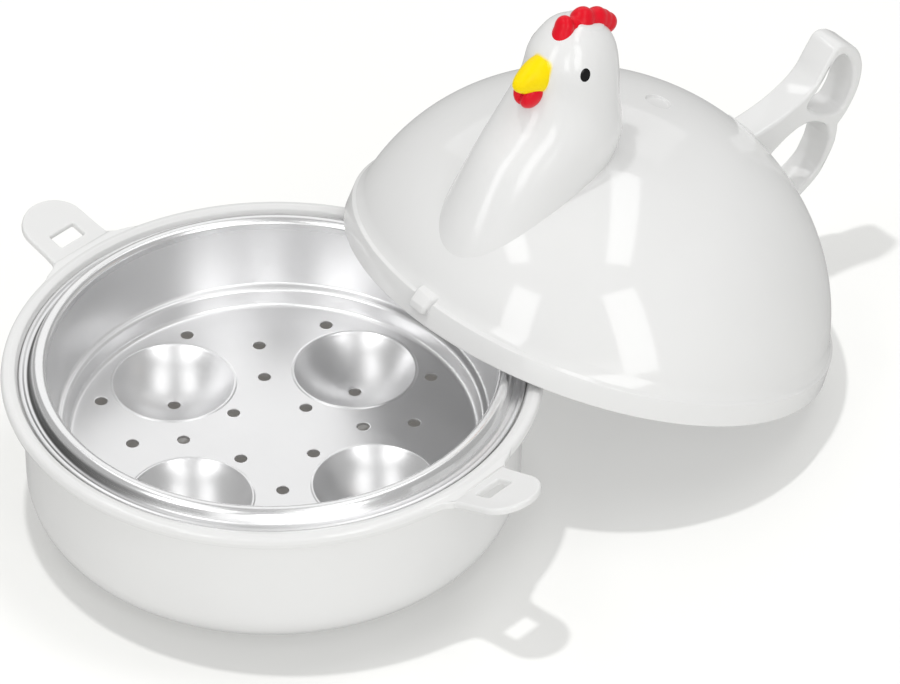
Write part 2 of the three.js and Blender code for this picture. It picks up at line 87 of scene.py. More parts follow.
LID_PLACE = (
    Matrix.Rotation(LEAN_HEADING, 4, "Z")
    @ Matrix.Translation((LEAN_DISTANCE * MM, 0, LID_EDGE_R * math.sin(LEAN_TILT) * MM))
    @ Matrix.Rotation(LEAN_TILT, 4, "Y")
    @ Matrix.Rotation(HEN_HEADING, 4, "Z")
)


def on_lid(x, y, z):
    """A place given in the lid's axes, in millimetres, as a point of the part in metres."""
    return LID_PLACE @ (Vector((x, y, z)) * MM)


def in_view(x, y, z):
    """A place given by right, away and up as the camera sees them, in metres."""
    return Matrix.Rotation(VIEW_TURN, 4, "Z") @ Vector((x, y, z))


# Outlines

def rounded(corners, steps=6, closed=True):
    """An outline of corners (x, y, radius) with each corner rounded off."""
    outline = []
    last = len(corners) - 1
    for i, (x, y, radius) in enumerate(corners):
        here = Vector((x, y))
        if radius == 0 or (not closed and i in (0, last)):
            outline.append((x, y))
            continue
        back = (Vector(corners[i - 1][:2]) - here).normalized()
        ahead = (Vector(corners[0 if i == last else i + 1][:2]) - here).normalized()
        half = back.angle(ahead) / 2
        centre = here + (back + ahead).normalized() * (radius / math.sin(half))
        spoke = here + back * (radius / math.tan(half)) - centre
        turn = math.pi - 2 * half
        if back.x * ahead.y - back.y * ahead.x > 0:
            turn = -turn
        for k in range(steps + 1):
            outline.append(tuple(centre + Matrix.Rotation(turn * k / steps, 2) @ spoke))
    return outline


def polar(radius, degrees):
    turn = math.radians(degrees)
    return radius * math.cos(turn), radius * math.sin(turn)


def arc(centre, half_axes, start, end, steps):
    """Points along an oval between two angles in degrees."""
    angles = [math.radians(start + (end - start) * k / steps) for k in range(steps + 1)]
    return [
        (centre[0] + half_axes[0] * math.cos(a), centre[1] + half_axes[1] * math.sin(a))
        for a in angles
    ]


def smooth_between(values, t, clamped=False):
    """A smooth curve through evenly spaced values, at the place t counted in values."""
    i = min(int(t), len(values) - 2)
    f = t - i
    here, there = values[i], values[i + 1]
    before = values[i - 1] if i else (here if clamped else 2 * here - there)
    after = values[i + 2] if i + 2 < len(values) else (there if clamped else 2 * there - here)
    leave, arrive = (there - before) / 2, (after - here) / 2
    bend = 2 * here - 2 * there + leave + arrive
    rise = 3 * there - 3 * here - 2 * leave - arrive
    return ((bend * f + rise) * f + leave) * f + here


def spline(knots, steps=8):
    """Points on a smooth curve through the knots."""
    xs, ys = zip(*knots)
    count = steps * (len(knots) - 1)
    return [
        (smooth_between(xs, k / steps, True), smooth_between(ys, k / steps, True))
        for k in range(count + 1)
    ]


def without_repeats(outline):
    """A closed outline with coinciding neighbours dropped."""
    kept = []
    for p in outline:
        if not kept or (Vector(p) - Vector(kept[-1])).length > 1e-4:
            kept.append(p)
    if (Vector(kept[0]) - Vector(kept[-1])).length < 1e-4:
        kept.pop()
    return kept


def area(outline):
    """The area inside a closed outline, above zero where it runs anticlockwise."""
    return sum(
        a[0] * b[1] - b[0] * a[1] for a, b in zip(outline, outline[1:] + outline[:1])
    ) / 2


def inset(outline, distance):
    """A closed outline moved inward, to the left of an anticlockwise path."""
    sign = 1 if area(outline) > 0 else -1
    moved = []
    for i, p in enumerate(outline):
        here = Vector(p)
        back = (here - Vector(outline[i - 1])).normalized()
        ahead = (Vector(outline[(i + 1) % len(outline)]) - here).normalized()
        left = (Vector((-back.y, back.x)) + Vector((-ahead.y, ahead.x))).normalized()
        slope = max(0.5, left.dot(Vector((-ahead.y, ahead.x))))
        moved.append(tuple(here + left * (sign * distance / slope)))
    return moved


# Meshes

class Skin:
    """The points and faces of one piece, in millimetres."""

    def __init__(self):
        self.points = []
        self.faces = []

    def ring(self, points):
        first = len(self.points)
        self.points.extend(Vector(p) for p in points)
        return list(range(first, len(self.points)))

    def bridge(self, low, high):
        """Joins two rings of equal length, or a ring to a single point."""
        count = max(len(low), len(high))
        for k in range(count):
            n = (k + 1) % count
            if len(low) == 1:
                self.faces.append((low[0], high[n], high[k]))
            elif len(high) == 1:
                self.faces.append((low[k], low[n], high[0]))
            else:
                self.faces.append((low[k], low[n], high[n], high[k]))

    def stack(self, rings):
        for low, high in zip(rings, rings[1:]):
            self.bridge(low, high)

    def fill(self, loops):
        """Fills a flat outline whose first loop is outside and the others are holes."""
        order = [i for loop in loops for i in loop]
        outlines = [[self.points[i] for i in loop] for loop in loops]
        for triangle in tessellate_polygon(outlines):
            self.faces.append(tuple(order[i] for i in triangle))

    def lathe(self, profile, segments=SEGMENTS, centre=(0, 0)):
        """Turns a profile of (radius, z) points about an upright axis."""
        rings = []
        for r, z in profile:
            turns = segments if r > 1e-6 else 1
            rings.append(self.ring(
                (
                    centre[0] + r * math.cos(2 * math.pi * k / segments),
                    centre[1] + r * math.sin(2 * math.pi * k / segments),
                    z,
                )
                for k in range(turns)
            ))
        self.stack(rings)
        return rings

    def plate(self, outline, thickness, edge, place, holes=(), margin=0.25):
        """A flat piece with rounded edges; place turns (u, v, height) into a point."""
        half, steps = thickness / 2, 4
        faces = {1: [], -1: []}
        for loop, sign in [(outline, 1)] + [(hole, -1) for hole in holes]:
            rings = []
            for side in (1, -1):
                levels = [(edge + margin, half)]
                for k in range(steps + 1):
                    a = math.pi / 2 * k / steps
                    levels.append((edge * (1 - math.sin(a)), half - edge * (1 - math.cos(a))))
                half_rings = [
                    self.ring(place(u, v, side * w) for u, v in inset(loop, sign * d))
                    for d, w in levels
                ]
                faces[side].append(half_rings[0])
                rings.extend(half_rings if side == 1 else reversed(half_rings))
            self.stack(rings)
        for loops in faces.values():
            self.fill(loops)

    def piece(self, name, finish, place=Matrix.Identity(4)):
        """Makes the object, closed and smooth-shaded apart from its sharp edges."""
        work = bmesh.new()
        corners = [work.verts.new(place @ (p * MM)) for p in self.points]
        for face in self.faces:
            if len({corners[i] for i in face}) > 2:
                work.faces.new([corners[i] for i in face])
        bmesh.ops.remove_doubles(work, verts=work.verts, dist=2e-7)
        bmesh.ops.recalc_face_normals(work, faces=work.faces)
        mesh = bpy.data.meshes.new(name)
        work.to_mesh(mesh)
        work.free()
        return dress(name, mesh, finish, crease=38)


def dress(name, mesh, finish, crease):
    """An object of a mesh in its finish, with edges sharp above the crease angle."""
    mesh.shade_smooth()
    mesh.set_sharp_from_angle(angle=math.radians(crease))
    mesh.materials.clear()
    mesh.materials.append(finish)
    piece = bpy.data.objects.new(name, mesh)
    bpy.context.scene.collection.objects.link(piece)
    return piece


# Finishes

class Signal:
    """A socket of a finish, with the arithmetic that the finish needs."""

    def __init__(self, finish, socket):
        self.finish = finish
        self.socket = socket

    def maths(self, operation, *values):
        inputs = dict(enumerate(values))
        return self.finish.node("ShaderNodeMath", {"operation": operation}, inputs)

    def __add__(self, other):
        return self.maths("ADD", self, other)

    def __radd__(self, other):
        return self.maths("ADD", other, self)

    def __sub__(self, other):
        return self.maths("SUBTRACT", self, other)

    def __rsub__(self, other):
        return self.maths("SUBTRACT", other, self)

    def __mul__(self, other):
        return self.maths("MULTIPLY", self, other)

    def __rmul__(self, other):
        return self.maths("MULTIPLY", other, self)

    def __truediv__(self, other):
        return self.maths("DIVIDE", self, other)

    def __rtruediv__(self, other):
        return self.maths("DIVIDE", other, self)

    def __pow__(self, other):
        return self.maths("POWER", self, other)

    def __rpow__(self, other):
        return self.maths("POWER", other, self)

    def at_least(self, low):
        return self.maths("MAXIMUM", self, low)


class Finish:
    """A node material with one surface shader."""

    def __init__(self, name, **constants):
        self.material = bpy.data.materials.new(name)
        self.material.use_nodes = True
        self.tree = self.material.node_tree
        self.surface = self.tree.nodes["Principled BSDF"]
        for socket, value in constants.items():
            self.surface.inputs[socket.replace("_", " ")].default_value = value

    def node(self, kind, settings=None, inputs=None, output=0):
        """A node with its settings made first, then the values or links of its sockets."""
        node = self.tree.nodes.new(kind)
        for key, value in (settings or {}).items():
            setattr(node, key, value)
        for key, value in (inputs or {}).items():
            if isinstance(value, Signal):
                self.tree.links.new(value.socket, node.inputs[key])
            else:
                node.inputs[key].default_value = value
        return Signal(self, node.outputs[output])

    def place(self):
        return self.node("ShaderNodeTexCoord", output="Object")

    def axis(self, vector, name):
        return self.node("ShaderNodeSeparateXYZ", inputs={0: vector}, output=name)

    def stretch(self, vector, scale):
        settings = {"operation": "MULTIPLY"}
        return self.node("ShaderNodeVectorMath", settings, {0: vector, 1: scale})

    def distance(self, vector, centre):
        settings = {"operation": "DISTANCE"}
        return self.node("ShaderNodeVectorMath", settings, {0: vector, 1: centre}, "Value")

    def along(self, vector, origin, direction):
        """How far a place lies from the origin along a direction."""
        settings = {"operation": "SUBTRACT"}
        away = self.node("ShaderNodeVectorMath", settings, {0: vector, 1: origin})
        settings = {"operation": "DOT_PRODUCT"}
        return self.node("ShaderNodeVectorMath", settings, {0: away, 1: direction}, "Value")

    def noise(self, vector, scale, detail=3.0):
        inputs = {"Vector": vector, "Scale": scale, "Detail": detail}
        return self.node("ShaderNodeTexNoise", inputs=inputs)

    def fade(self, value, low, high):
        """0 at low, 1 at high and smooth between; low may be above high."""
        flip = low > high
        low, high = sorted((low, high))
        settings = {"interpolation_type": "SMOOTHSTEP"}
        inputs = {"Value": value, "From Min": low, "From Max": high}
        mask = self.node("ShaderNodeMapRange", settings, inputs)
        return 1 - mask if flip else mask

    def mix(self, mask, low, high):
        settings = {"data_type": "RGBA"}
        return self.node("ShaderNodeMix", settings, {0: mask, 6: low, 7: high}, output=2)

    def bump(self, height, strength, depth):
        inputs = {"Height": height, "Strength": strength, "Distance": depth}
        return self.node("ShaderNodeBump", inputs=inputs)

    def feed(self, **sockets):
        for name, signal in sockets.items():
            target = self.surface.inputs[name.replace("_", " ")]
            self.tree.links.new(signal.socket, target)
        return self.material


def moulded_white(name, gloss, **constants):
    """Moulded white polypropylene: its finish, the place on it and its plain colour."""
    finish = Finish(name, IOR=1.5, **constants)
    place = finish.place()
    cloud = finish.noise(place, 22.0)
    peel = finish.noise(place, 420.0, 2.0)
    finish.feed(Roughness=gloss + 0.04 * cloud, Normal=finish.bump(peel, 0.03, 0.0003))
    return finish, place, finish.mix(cloud, (0.75, 0.75, 0.745, 1), (0.80, 0.80, 0.796, 1))


def white_plastic():
    finish, _, colour = moulded_white("white_plastic", 0.07)
    return finish.feed(Base_Color=colour)


def bowl_white():
    """The bowl's plastic; a painted glow on its inner wall and floor lights the water space."""
    finish, place, colour = moulded_white("bowl_white_plastic", 0.07, Emission_Strength=1.0)
    radius = finish.distance(finish.stretch(place, (1.0, 1.0, 0.0)), (0, 0, 0))
    across = (radius - BOWL_CURVE_AT[0] * MM).at_least(0.0)
    rise = finish.axis(place, "Z") - BOWL_CURVE_AT[1] * MM
    corner = (across * across + rise * rise) ** 0.5
    inside = finish.fade(corner, (BOWL_CURVE_R - 0.6) * MM, (BOWL_CURVE_R - 1.4) * MM)
    # painted light: the inner wall and floor glow faintly, so the tray's holes show a lit space
    # below
    glow = finish.mix(inside, (0, 0, 0, 1), (0.085, 0.081, 0.076, 1))
    return finish.feed(Base_Color=colour, Emission_Color=glow)


SPRAY_AT = (0.9, 88.4)
SPRAY_HALF = (4.0, 5.4)


def hen_white():
    """The head's plastic, with the beak's yellow sprayed past its edge on the left."""
    finish, place, plain = moulded_white("hen_white_plastic", 0.13)
    origin, across, up = on_lid(0, 0, 0), on_lid(0, 1, 0), on_lid(0, 0, 1)
    y = finish.along(place, origin, (across - origin).normalized())
    z = finish.along(place, origin, (up - origin).normalized())
    side = (y - SPRAY_AT[0] * MM) / (SPRAY_HALF[0] * MM)
    rise = (z - SPRAY_AT[1] * MM) / (SPRAY_HALF[1] * MM)
    square = (side ** 4 + rise ** 4) ** 0.25
    front = finish.fade(finish.distance(place, on_lid(66, 0, 88)), 0.016, 0.013)
    spray = finish.fade(square, 1.16, 0.9) * front
    return finish.feed(Base_Color=finish.mix(spray, plain, (0.96, 0.74, 0.003, 1)))


def pressed_aluminium():
    """Spun sheet: satin wall and floor with fine turning lines, polished bead and cups, and
    painted shade in the groove outside the bead on the left.
    """
    finish = Finish("pressed_aluminium", Metallic=0.9)
    place = finish.place()
    x, y, z = (finish.axis(place, name) for name in "XYZ")
    radius = (x * x + y * y) ** 0.5
    bead = finish.fade(z, 0.0505, 0.0522)
    below = finish.fade(z, 0.0246, 0.0243)
    # painted shade: the groove outside the bead is coloured near black towards the left, where
    # it lies in shade
    painted_groove_shade = finish.fade(radius, 0.0756, 0.0762) * finish.fade(radius, 0.0777, 0.0771)
    left = finish.fade(finish.along(place, (0, 0, 0), in_view(-1, 0, 0)) / radius, 0.1, 0.9)
    lines = finish.node("ShaderNodeCombineXYZ", inputs={0: radius * 2600, 1: z * 1400, 2: 0.0})
    turning = finish.noise(lines, 1.0, 2.0)
    grain = finish.noise(finish.stretch(place, (60.0, 1500.0, 60.0)), 1.0)
    cloud = finish.noise(place, 30.0)
    satin = 0.24 + 0.08 * grain + 0.06 * cloud
    shine = 0.20 + 0.05 * cloud
    rough = satin - bead * (satin - shine) + below * 0.02
    plain = finish.mix(cloud, (0.74, 0.74, 0.745, 1), (0.83, 0.83, 0.835, 1))
    return finish.feed(
        Base_Color=finish.mix(painted_groove_shade * left, plain, (0.12, 0.12, 0.12, 1)),
        Roughness=rough,
        Normal=finish.bump(turning * (1 - bead), 0.06, 0.0002),
    )


def spun_aluminium():
    """The thin dome inside the lid."""
    finish = Finish("spun_aluminium", Metallic=1.0)
    place = finish.place()
    height = finish.distance(place, on_lid(0, 0, -1000))
    lines = finish.node("ShaderNodeCombineXYZ", inputs={0: height * 1800, 1: 0.0, 2: 0.0})
    turning = finish.noise(lines, 1.0, 2.0)
    cloud = finish.noise(place, 25.0)
    colour = finish.mix(cloud, (0.72, 0.72, 0.725, 1), (0.82, 0.82, 0.825, 1))
    return finish.feed(
        Base_Color=colour,
        Roughness=0.24 + 0.10 * turning,
        Normal=finish.bump(turning, 0.05, 0.0002),
    )


def glossy_paint(name, deep, bright, roughness, sheen):
    """Brushed-on paint with a slightly uneven coat."""
    finish = Finish(name, IOR=1.5, Specular_IOR_Level=sheen)
    place = finish.place()
    cloud = finish.noise(place, 160.0)
    ripple = finish.noise(place, 700.0, 2.0)
    return finish.feed(
        Base_Color=finish.mix(cloud, deep, bright),
        Roughness=roughness + 0.1 * ripple,
        Normal=finish.bump(ripple, 0.08, 0.0002),
    )


def zinc_steel():
    finish = Finish("zinc_steel", Metallic=1.0)
    place = finish.place()
    cloud = finish.noise(place, 900.0)
    colour = finish.mix(cloud, (0.55, 0.57, 0.60, 1), (0.72, 0.73, 0.75, 1))
    return finish.feed(Base_Color=colour, Roughness=0.3 + 0.15 * cloud)


def pale_floor():
    """A light table: pale, lit from below around the middle, with a painted contact shadow
    around the bowl's foot.
    """
    finish = Finish("pale_floor", Roughness=0.8, Emission_Strength=1.0)
    place = finish.place()
    cloud = finish.noise(place, 1.2, 2.0)
    pool = finish.fade(finish.distance(place, (0.06, 0.08, 0)), 0.9, 0.4)
    # painted shadow: the glow is dimmer in a ring around the bowl's foot, set off towards the
    # left and front
    painted_contact_shadow = finish.fade(finish.distance(place, in_view(-0.010, -0.006, 0)), 0.100, 0.080)
    glow = finish.mix(painted_contact_shadow, (0.43, 0.43, 0.423, 1), (0.33, 0.33, 0.325, 1))
    return finish.feed(
        Base_Color=finish.mix(cloud, (0.36, 0.36, 0.352, 1), (0.375, 0.375, 0.367, 1)),
        Emission_Color=finish.mix(pool, (0.05, 0.05, 0.05, 1), glow),
    )


# Bowl

def at_bearing(degrees):
    """Gives the point that lies outward, sideways and up as seen on a bearing."""
    turn = math.radians(degrees)

    def place(out, side, up):
        return (
            out * math.cos(turn) - side * math.sin(turn),
            out * math.sin(turn) + side * math.cos(turn),
            up,
        )
    return place


def bowl_skin():
    skin = Skin()
    inner_r = BOWL_CURVE_R - BOWL_WALL
    skin.lathe(rounded([
        # foot and outer wall
        (0, 0, 0),
        (64.2, 0, 0.4),
        (64.5, 0.04, 0),
        *[(r, z, 0) for r, z in arc(BOWL_CURVE_AT, (BOWL_CURVE_R, BOWL_CURVE_R), -88, 0, 14)],
        (79.2, 46.2, 1.2),
        # rolled rim
        (80.3, 47.3, 0.8),
        (85.0, 47.3, 0.8),
        (85.7, 49.4, 1.0),
        (85.3, 51.4, 1.4),
        (83.2, 51.95, 1.2),
        (81.2, 51.4, 0.9),
        (80.3, 49.9, 0.5),
        # ledge that the tray sits on, then the inner wall and floor
        (80.3, 49.0, 0.3),
        (77.0, 49.0, 0.5),
        (76.3, 14, 0),
        *[(r, z, 0) for r, z in arc(BOWL_CURVE_AT, (inner_r, inner_r), -4, -90, 12)],
        (0, BOWL_WALL, 0),
    ], closed=False))
    for bearing, _ in FLAPS.values():
        place = at_bearing(bearing)
        flare = [(82.6, 20.4, 0), (84.2, 17.4, 3.0), (85.6, 13.9, 3.0), (87.3, 12.1, 0.3)]
        root = rounded([(u, -v, r) for u, v, r in flare] + flare[::-1])
        middle_z = HINGE_Z - FLAP_THICKNESS / 2
        skin.plate(root, ROOT_THICKNESS, 0.45, lambda u, v, w: place(u, v, middle_z + w))
    return skin


# Tray

def offset_path(path, distance):
    """An open path moved to its right."""
    moved = []
    for i, p in enumerate(path):
        before = Vector(path[max(i - 1, 0)])
        after = Vector(path[min(i + 1, len(path) - 1)])
        along = (after - before).normalized()
        moved.append((p[0] + along.y * distance, p[1] - along.x * distance))
    return moved


def tray_skin():
    skin = Skin()
    floor = TRAY_FLOOR_Z
    wall = rounded([
        # floor and step
        (62.6, floor, 0),
        (64.7, floor, 1.6),
        (66.1, 30.9, 1.6),
        (68.35, 30.9, 1.1),
        # wall, raised bead and flange
        (71.5, 54.5, 2.0),
        (75.3, 54.5, 2.2),
        (76.9, 50.35, 0.8),
        (78.2, 50.35, 0.6),
        (79.0, 50.8, 0.5),
        (79.75, 50.55, 0),
    ], steps=7, closed=False)
    under = offset_path(wall, TRAY_SHEET)
    lip = [(79.95, 50.2), (79.85, 49.75)]
    top_rings = skin.lathe([(62.3, floor)] + wall + lip)
    under_rings = skin.lathe([(62.3, floor - TRAY_SHEET)] + under)
    skin.bridge(top_rings[-1], under_rings[-1])

    cup_r = (CUP_RIM_R ** 2 + CUP_DEPTH ** 2) / (2 * CUP_DEPTH)
    cup_z = floor - CUP_DEPTH + cup_r
    slope = math.degrees(math.asin(CUP_RIM_R / cup_r))
    dish = arc((0, cup_z), (cup_r, cup_r), -90 + slope, -90 + 6, 26)[1:]
    dish = [(r, z, 0) for r, z in dish if r > HOLE_R + 0.6]
    coined_edge = [
        (CUP_RIM_R + 1.7, floor, 0), (CUP_RIM_R + 1.2, floor, 0.3),
        (CUP_RIM_R + 0.7, floor + 0.3, 0.3), (CUP_RIM_R + 0.2, floor + 0.25, 0.3),
        (CUP_RIM_R - 0.2, floor - 0.3, 0.3),
    ]
    plain_edge = [(CUP_RIM_R + 1.6, floor, 0), (CUP_RIM_R, floor, 1.5)]
    profile = rounded(coined_edge + dish, steps=5, closed=False)
    bottom = offset_path(rounded(plain_edge + dish, steps=7, closed=False), -TRAY_SHEET)

    top_loops, under_loops = [top_rings[0]], [under_rings[0]]
    for cup in range(4):
        bearing = TRAY_TURN + 90 * cup
        centre = polar(CUP_CIRCLE_R, bearing)
        edge_r = CUP_RIM_R + 1.9
        upper = skin.lathe([(edge_r, floor)] + profile, CUP_SEGMENTS, centre)
        lower = skin.lathe([(edge_r, floor - TRAY_SHEET)] + bottom, CUP_SEGMENTS, centre)
        top_loops.append(upper[0])
        under_loops.append(lower[0])
        base = cup_z - cup_r
        hole = [
            (HOLE_R + 0.3, base + 0.06), (HOLE_R + 0.08, base), (HOLE_R, base - 0.12),
            (HOLE_R, base - TRAY_SHEET + 0.1), (HOLE_R + 0.3, base - TRAY_SHEET + 0.03),
        ]
        rings = skin.lathe(hole, CUP_SEGMENTS, centre)
        skin.bridge(upper[-1], rings[0])
        skin.bridge(rings[-1], lower[-1])
        # holes in the floor, by distance from the middle and bearing
        spots = [
            (16.3, bearing), (28.6, bearing + 45), (44.8, bearing + 45),
            (57.3, bearing - 22), (57.3, bearing + 22),
        ]
        for radius, angle in spots:
            rings = skin.lathe([
                (HOLE_R + 0.45, floor), (HOLE_R + 0.25, floor), (HOLE_R + 0.06, floor - 0.07),
                (HOLE_R, floor - 0.25), (HOLE_R, floor - TRAY_SHEET),
            ], HOLE_SEGMENTS, polar(radius, angle))
            top_loops.append(rings[0])
            under_loops.append(rings[-1])
    skin.fill(top_loops)
    skin.fill(under_loops)
    return skin


# Latch flaps

def flap_skin():
    """A flap, level, with its hinge line on the Y axis and its top at z = 0."""
    skin = Skin()
    start, bend, half = -0.6, 12.45, 11.15
    edge = [(bend, half, 0), (4.0, 11.4, 6.0), (1.0, 11.7, 3.0), (start, 12.3, 0.4)]
    outline = rounded(edge + [(u, -v, r) for u, v, r in reversed(edge)], 5, False)
    outline += arc((bend, 0), (10.1, half), -90, 90, 44)[1:-1]
    near, far, side, corner = 3.9, 9.5, 5.2, 0.7
    slot = rounded([
        (near, -side, corner), (far, -side, corner), (far, side, corner), (near, side, corner),
    ], 4)
    middle_z = -FLAP_THICKNESS / 2
    skin.plate(outline, FLAP_THICKNESS, 0.7, lambda u, v, w: (u, v, middle_z + w), holes=[slot])
    return skin


def flap_place(bearing, rise):
    return (
        Matrix.Rotation(math.radians(bearing), 4, "Z")
        @ Matrix.Translation((HINGE_R * MM, 0, HINGE_Z * MM))
        @ Matrix.Rotation(-math.radians(rise), 4, "Y")
    )


# Lid

def dome_arc(inward, from_z, to_r, steps):
    """The dome's profile moved inward, from a height up to a radius."""
    half_width, half_height = DOME_HALF_WIDTH - inward, DOME_HEIGHT - inward
    start = math.degrees(math.asin((from_z + DOME_SINK) / half_height))
    end = math.degrees(math.acos(to_r / half_width))
    return arc((0, -DOME_SINK), (half_width, half_height), start, end, steps)


def onto_dome(point, depth):
    """The point, or where it would lie deeper in the dome's wall, the place at that depth."""
    p = Vector(point) + Vector((0, 0, DOME_SINK))
    half_width, half_height = DOME_HALF_WIDTH - depth, DOME_HEIGHT - depth
    size = math.sqrt((p.x ** 2 + p.y ** 2) / half_width ** 2 + (p.z / half_height) ** 2)
    if size < 1:
        p = p / max(size, 1e-6)
    return p - Vector((0, 0, DOME_SINK))


def shell_skin():
    skin = Skin()
    apex = DOME_HEIGHT - DOME_SINK
    inner_r = LID_EDGE_R - LID_WALL
    outside = dome_arc(0, LID_BAND + 2.8, 4.9, 60)
    inside = dome_arc(LID_WALL, LID_BAND - 0.4, 0, 40)
    profile = rounded([
        *[(r, z, 0) for r, z in reversed(inside)],
        (inner_r, LID_BAND - 1.6, 0),
        (inner_r, 0, 0.4),
        # straight band
        (LID_EDGE_R - 0.1, 0, 0.6),
        (LID_EDGE_R - 0.5, LID_BAND - 0.5, 0.5),
        (80.5, LID_BAND + 0.4, 0.6),
        *[(r, z, 0) for r, z in outside],
        # vent dimple
        (4.3, apex - 0.1, 0.35),
        (3.8, apex - 0.9, 0.4),
        (0, apex - 0.9, 0),
    ], 5, closed=False)
    skin.lathe(profile)
    root = LID_EDGE_R - LID_WALL / 2
    foot, reach = 78.9, 84.0
    catch = rounded([
        (root, 3.4, 0), (reach, 3.8, 0.8), (reach, 6.4, 1.2), (82.0, 9.8, 1.4), (foot, 10.8, 0),
    ], 5)
    for bearing in (1, 181):
        place = at_bearing(bearing)

        def tapered(u, v, w):
            return place(u, w * (1 - CATCH_TAPER * (u - foot)), v)
        skin.plate(catch, CATCH_WIDTH, 1.3, tapered)
    lug = rounded([
        (root - 2.7, 1.2, 0.2), (root, 0.4, 0), (root, 2.1, 0), (root - 2.7, 2.1, 0.2),
    ], 3)
    for bearing in (45, 135, 225, 315):
        place = at_bearing(bearing)
        skin.plate(lug, LUG_WIDTH, 0.2, lambda u, v, w: place(u, w, v), margin=0.1)
    return skin


def reflector_skin():
    skin = Skin()
    inside = dome_arc(5.5, 3.4, 0, 48)
    outside = dome_arc(4.7, 4.0, 0, 48)
    profile = rounded([
        *[(r, z, 0) for r, z in reversed(inside)],
        (inside[0][0] + 0.4, 2.6, 0.4),
        (79.3, 2.6, 0.3),
        (79.3, 3.4, 0.3),
        (outside[0][0] + 0.5, 3.4, 0.3),
        *[(r, z, 0) for r, z in outside],
    ], 4, closed=False)
    skin.lathe(profile)
    return skin


# Hen

HEAD_SECTIONS = {
    "z": (18, 36, 54, 70, 82, 92, 99, 103, 105.4),
    "front": (75.6, 74.7, 72.2, 66.4, 65.4, 66.6, 64.9, 62.5, 59),
    "back": (23.4, 25.6, 24.4, 24.2, 29.4, 34.2, 37.9, 41.4, 45),
    "half_width": (25.3, 20.8, 18.9, 18.4, 15.4, 14.1, 11.8, 9.3, 6.2),
}
HEAD_CROWN_Z = 106.6
HEAD_SIDES = 96
HEAD_ROWS = 80
HEAD_SEAT = 0.5


def head_oval(t):
    """Middle, half length, half width and height of the head's section at t."""
    front, back, half_width, z = (
        smooth_between(HEAD_SECTIONS[key], t) for key in ("front", "back", "half_width", "z")
    )
    return (front + back) / 2, (front - back) / 2, half_width, z


def head_section_at(z):
    """The section place t at a height, found by halving."""
    low, high = 0.0, len(HEAD_SECTIONS["z"]) - 1.0
    for _ in range(40):
        middle = (low + high) / 2
        if smooth_between(HEAD_SECTIONS["z"], middle) < z:
            low = middle
        else:
            high = middle
    return low


def head_side(x, z):
    """Half the head's width at a place on its side."""
    middle, half_length, half_width, _ = head_oval(head_section_at(z))
    along = (x - middle) / half_length
    return half_width * math.sqrt(max(0.0, 1 - along ** 2))


def head_point(t, angle):
    middle, half_length, half_width, z = head_oval(t)
    return (middle + half_length * math.cos(angle), half_width * math.sin(angle), z)


def depth_in_dome(point):
    """How far below the outside of the dome a point lies, along the line to its centre."""
    p = Vector(point) + Vector((0, 0, DOME_SINK))
    size = math.hypot(math.hypot(p.x, p.y) / DOME_HALF_WIDTH, p.z / DOME_HEIGHT)
    return p.length * (1 / size - 1)


def head_start(angle):
    """Where the head's skin comes out of the dome's wall on one side."""
    low, high = 0.0, 5.0
    for _ in range(40):
        t = (low + high) / 2
        if depth_in_dome(head_point(t, angle)) > HEAD_SEAT:
            low = t
        else:
            high = t
    return low


def head_skin():
    skin = Skin()
    last = len(HEAD_SECTIONS["z"]) - 1
    angles = [2 * math.pi * k / HEAD_SIDES for k in range(HEAD_SIDES)]
    starts = [head_start(angle) for angle in angles]
    rings = [
        skin.ring(
            head_point(start + (last - start) * row / HEAD_ROWS, angle)
            for start, angle in zip(starts, angles)
        )
        for row in range(HEAD_ROWS + 1)
    ]
    middle, half_length, half_width, z = head_oval(last)
    for k in range(1, 8):
        a = math.pi / 2 * k / 8
        rings.append(skin.ring(
            (
                middle + half_length * math.cos(a) * math.cos(angle),
                half_width * math.cos(a) * math.sin(angle),
                z + (HEAD_CROWN_Z - z) * math.sin(a),
            )
            for angle in angles
        ))
    crown = skin.ring([(middle, 0, HEAD_CROWN_Z)])
    edge = [skin.points[i] for i in rings[0]]
    centre = sum(edge, Vector()) / len(edge)
    seat = [
        skin.ring(onto_dome(centre.lerp(p, scale), HEAD_SEAT) for p in edge)
        for scale in (0.75, 0.5, 0.25)
    ]
    foot = skin.ring([onto_dome(centre, HEAD_SEAT)])
    skin.stack([foot] + seat[::-1] + rings + [crown])
    return skin


def blended(name, lobes, finish, voxel, smoothing):
    """Oval lobes (centre, radii, tilt about X) run together into one soft form."""
    work = bmesh.new()
    for centre, radii, tilt in lobes:
        shape = (
            Matrix.Translation(Vector(centre) * MM)
            @ Matrix.Rotation(math.radians(tilt), 4, "X")
            @ Matrix.Diagonal((*(Vector(radii) * MM), 1))
        )
        bmesh.ops.create_icosphere(work, subdivisions=4, radius=1.0, matrix=shape)
    mesh = bpy.data.meshes.new(name + "_lobes")
    work.to_mesh(mesh)
    work.free()
    form = bpy.data.objects.new(name + "_lobes", mesh)
    bpy.context.scene.collection.objects.link(form)
    remesh = form.modifiers.new("run_together", "REMESH")
    remesh.mode = "VOXEL"
    remesh.voxel_size = voxel * MM
    smooth = form.modifiers.new("soften", "SMOOTH")
    smooth.iterations = smoothing
    smooth.factor = 0.5
    depsgraph = bpy.context.evaluated_depsgraph_get()
    result = bpy.data.meshes.new_from_object(form.evaluated_get(depsgraph))
    bpy.data.objects.remove(form)
    result.name = name
    result.transform(LID_PLACE)
    return dress(name, result, finish, crease=80)


